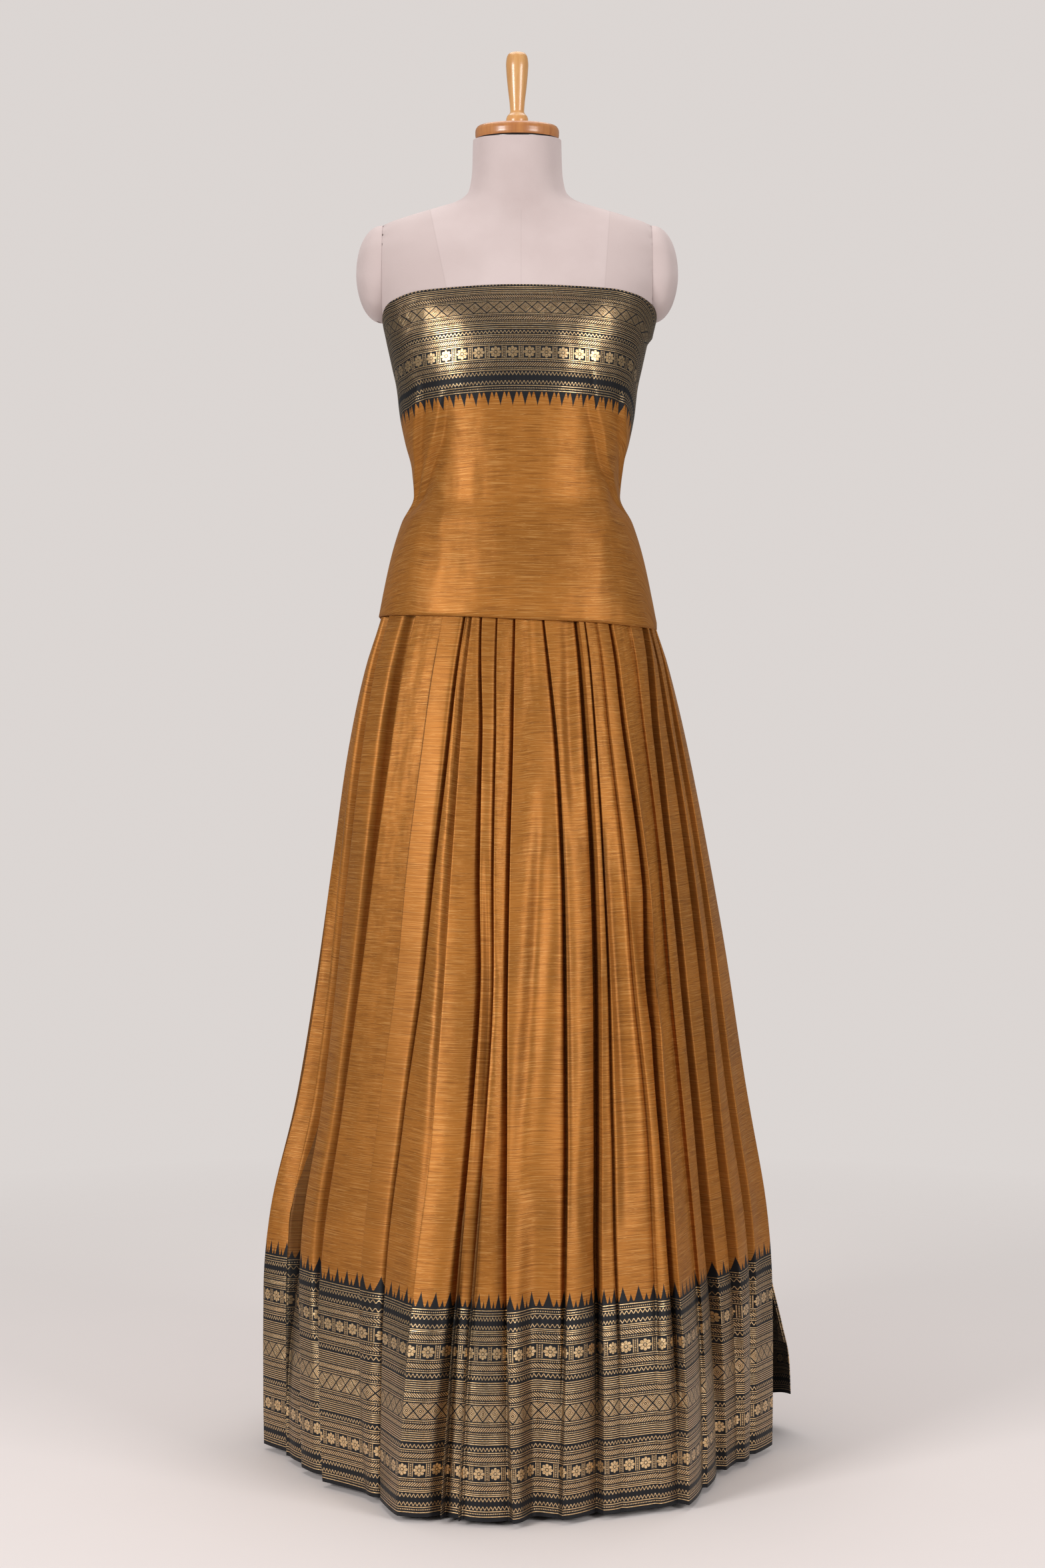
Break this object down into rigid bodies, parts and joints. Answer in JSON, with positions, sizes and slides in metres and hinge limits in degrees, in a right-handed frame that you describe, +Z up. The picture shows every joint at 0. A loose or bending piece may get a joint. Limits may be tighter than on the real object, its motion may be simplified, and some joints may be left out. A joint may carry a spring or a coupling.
{
  "type": "half saree on dress form",
  "caption": "Pleated silk half saree with a deep woven gold border, wound over the bust and hip of a limbless dress form with a turned finial.",
  "frame": {"origin": "middle of the base's underside, on the floor", "axes": "+Z up, the front of the garment faces -Y, and +X is to the right of someone who looks at the front"},
  "size_m": [0.5987, 0.5887, 1.57],
  "materials": {
    "ochre_silk": "shot silk with a soft sheen and a black and gold woven border",
    "form_cover": "matt velvety cover with sewn seams",
    "varnished_wood": "varnished",
    "stand_metal": "satin dark grey"
  },
  "bodies": {
    "root": {"skirt_front": "ochre_silk", "skirt_back": "ochre_silk", "skirt_edge_fold": "ochre_silk", "wrap_front": "ochre_silk", "wrap_back": "ochre_silk", "form_torso": "form_cover", "form_shoulder_left": "form_cover", "form_shoulder_right": "form_cover", "form_neck_cap": "varnished_wood", "form_finial": "varnished_wood", "form_pole": "stand_metal", "form_base": "stand_metal"}
  },
  "joints": []
}
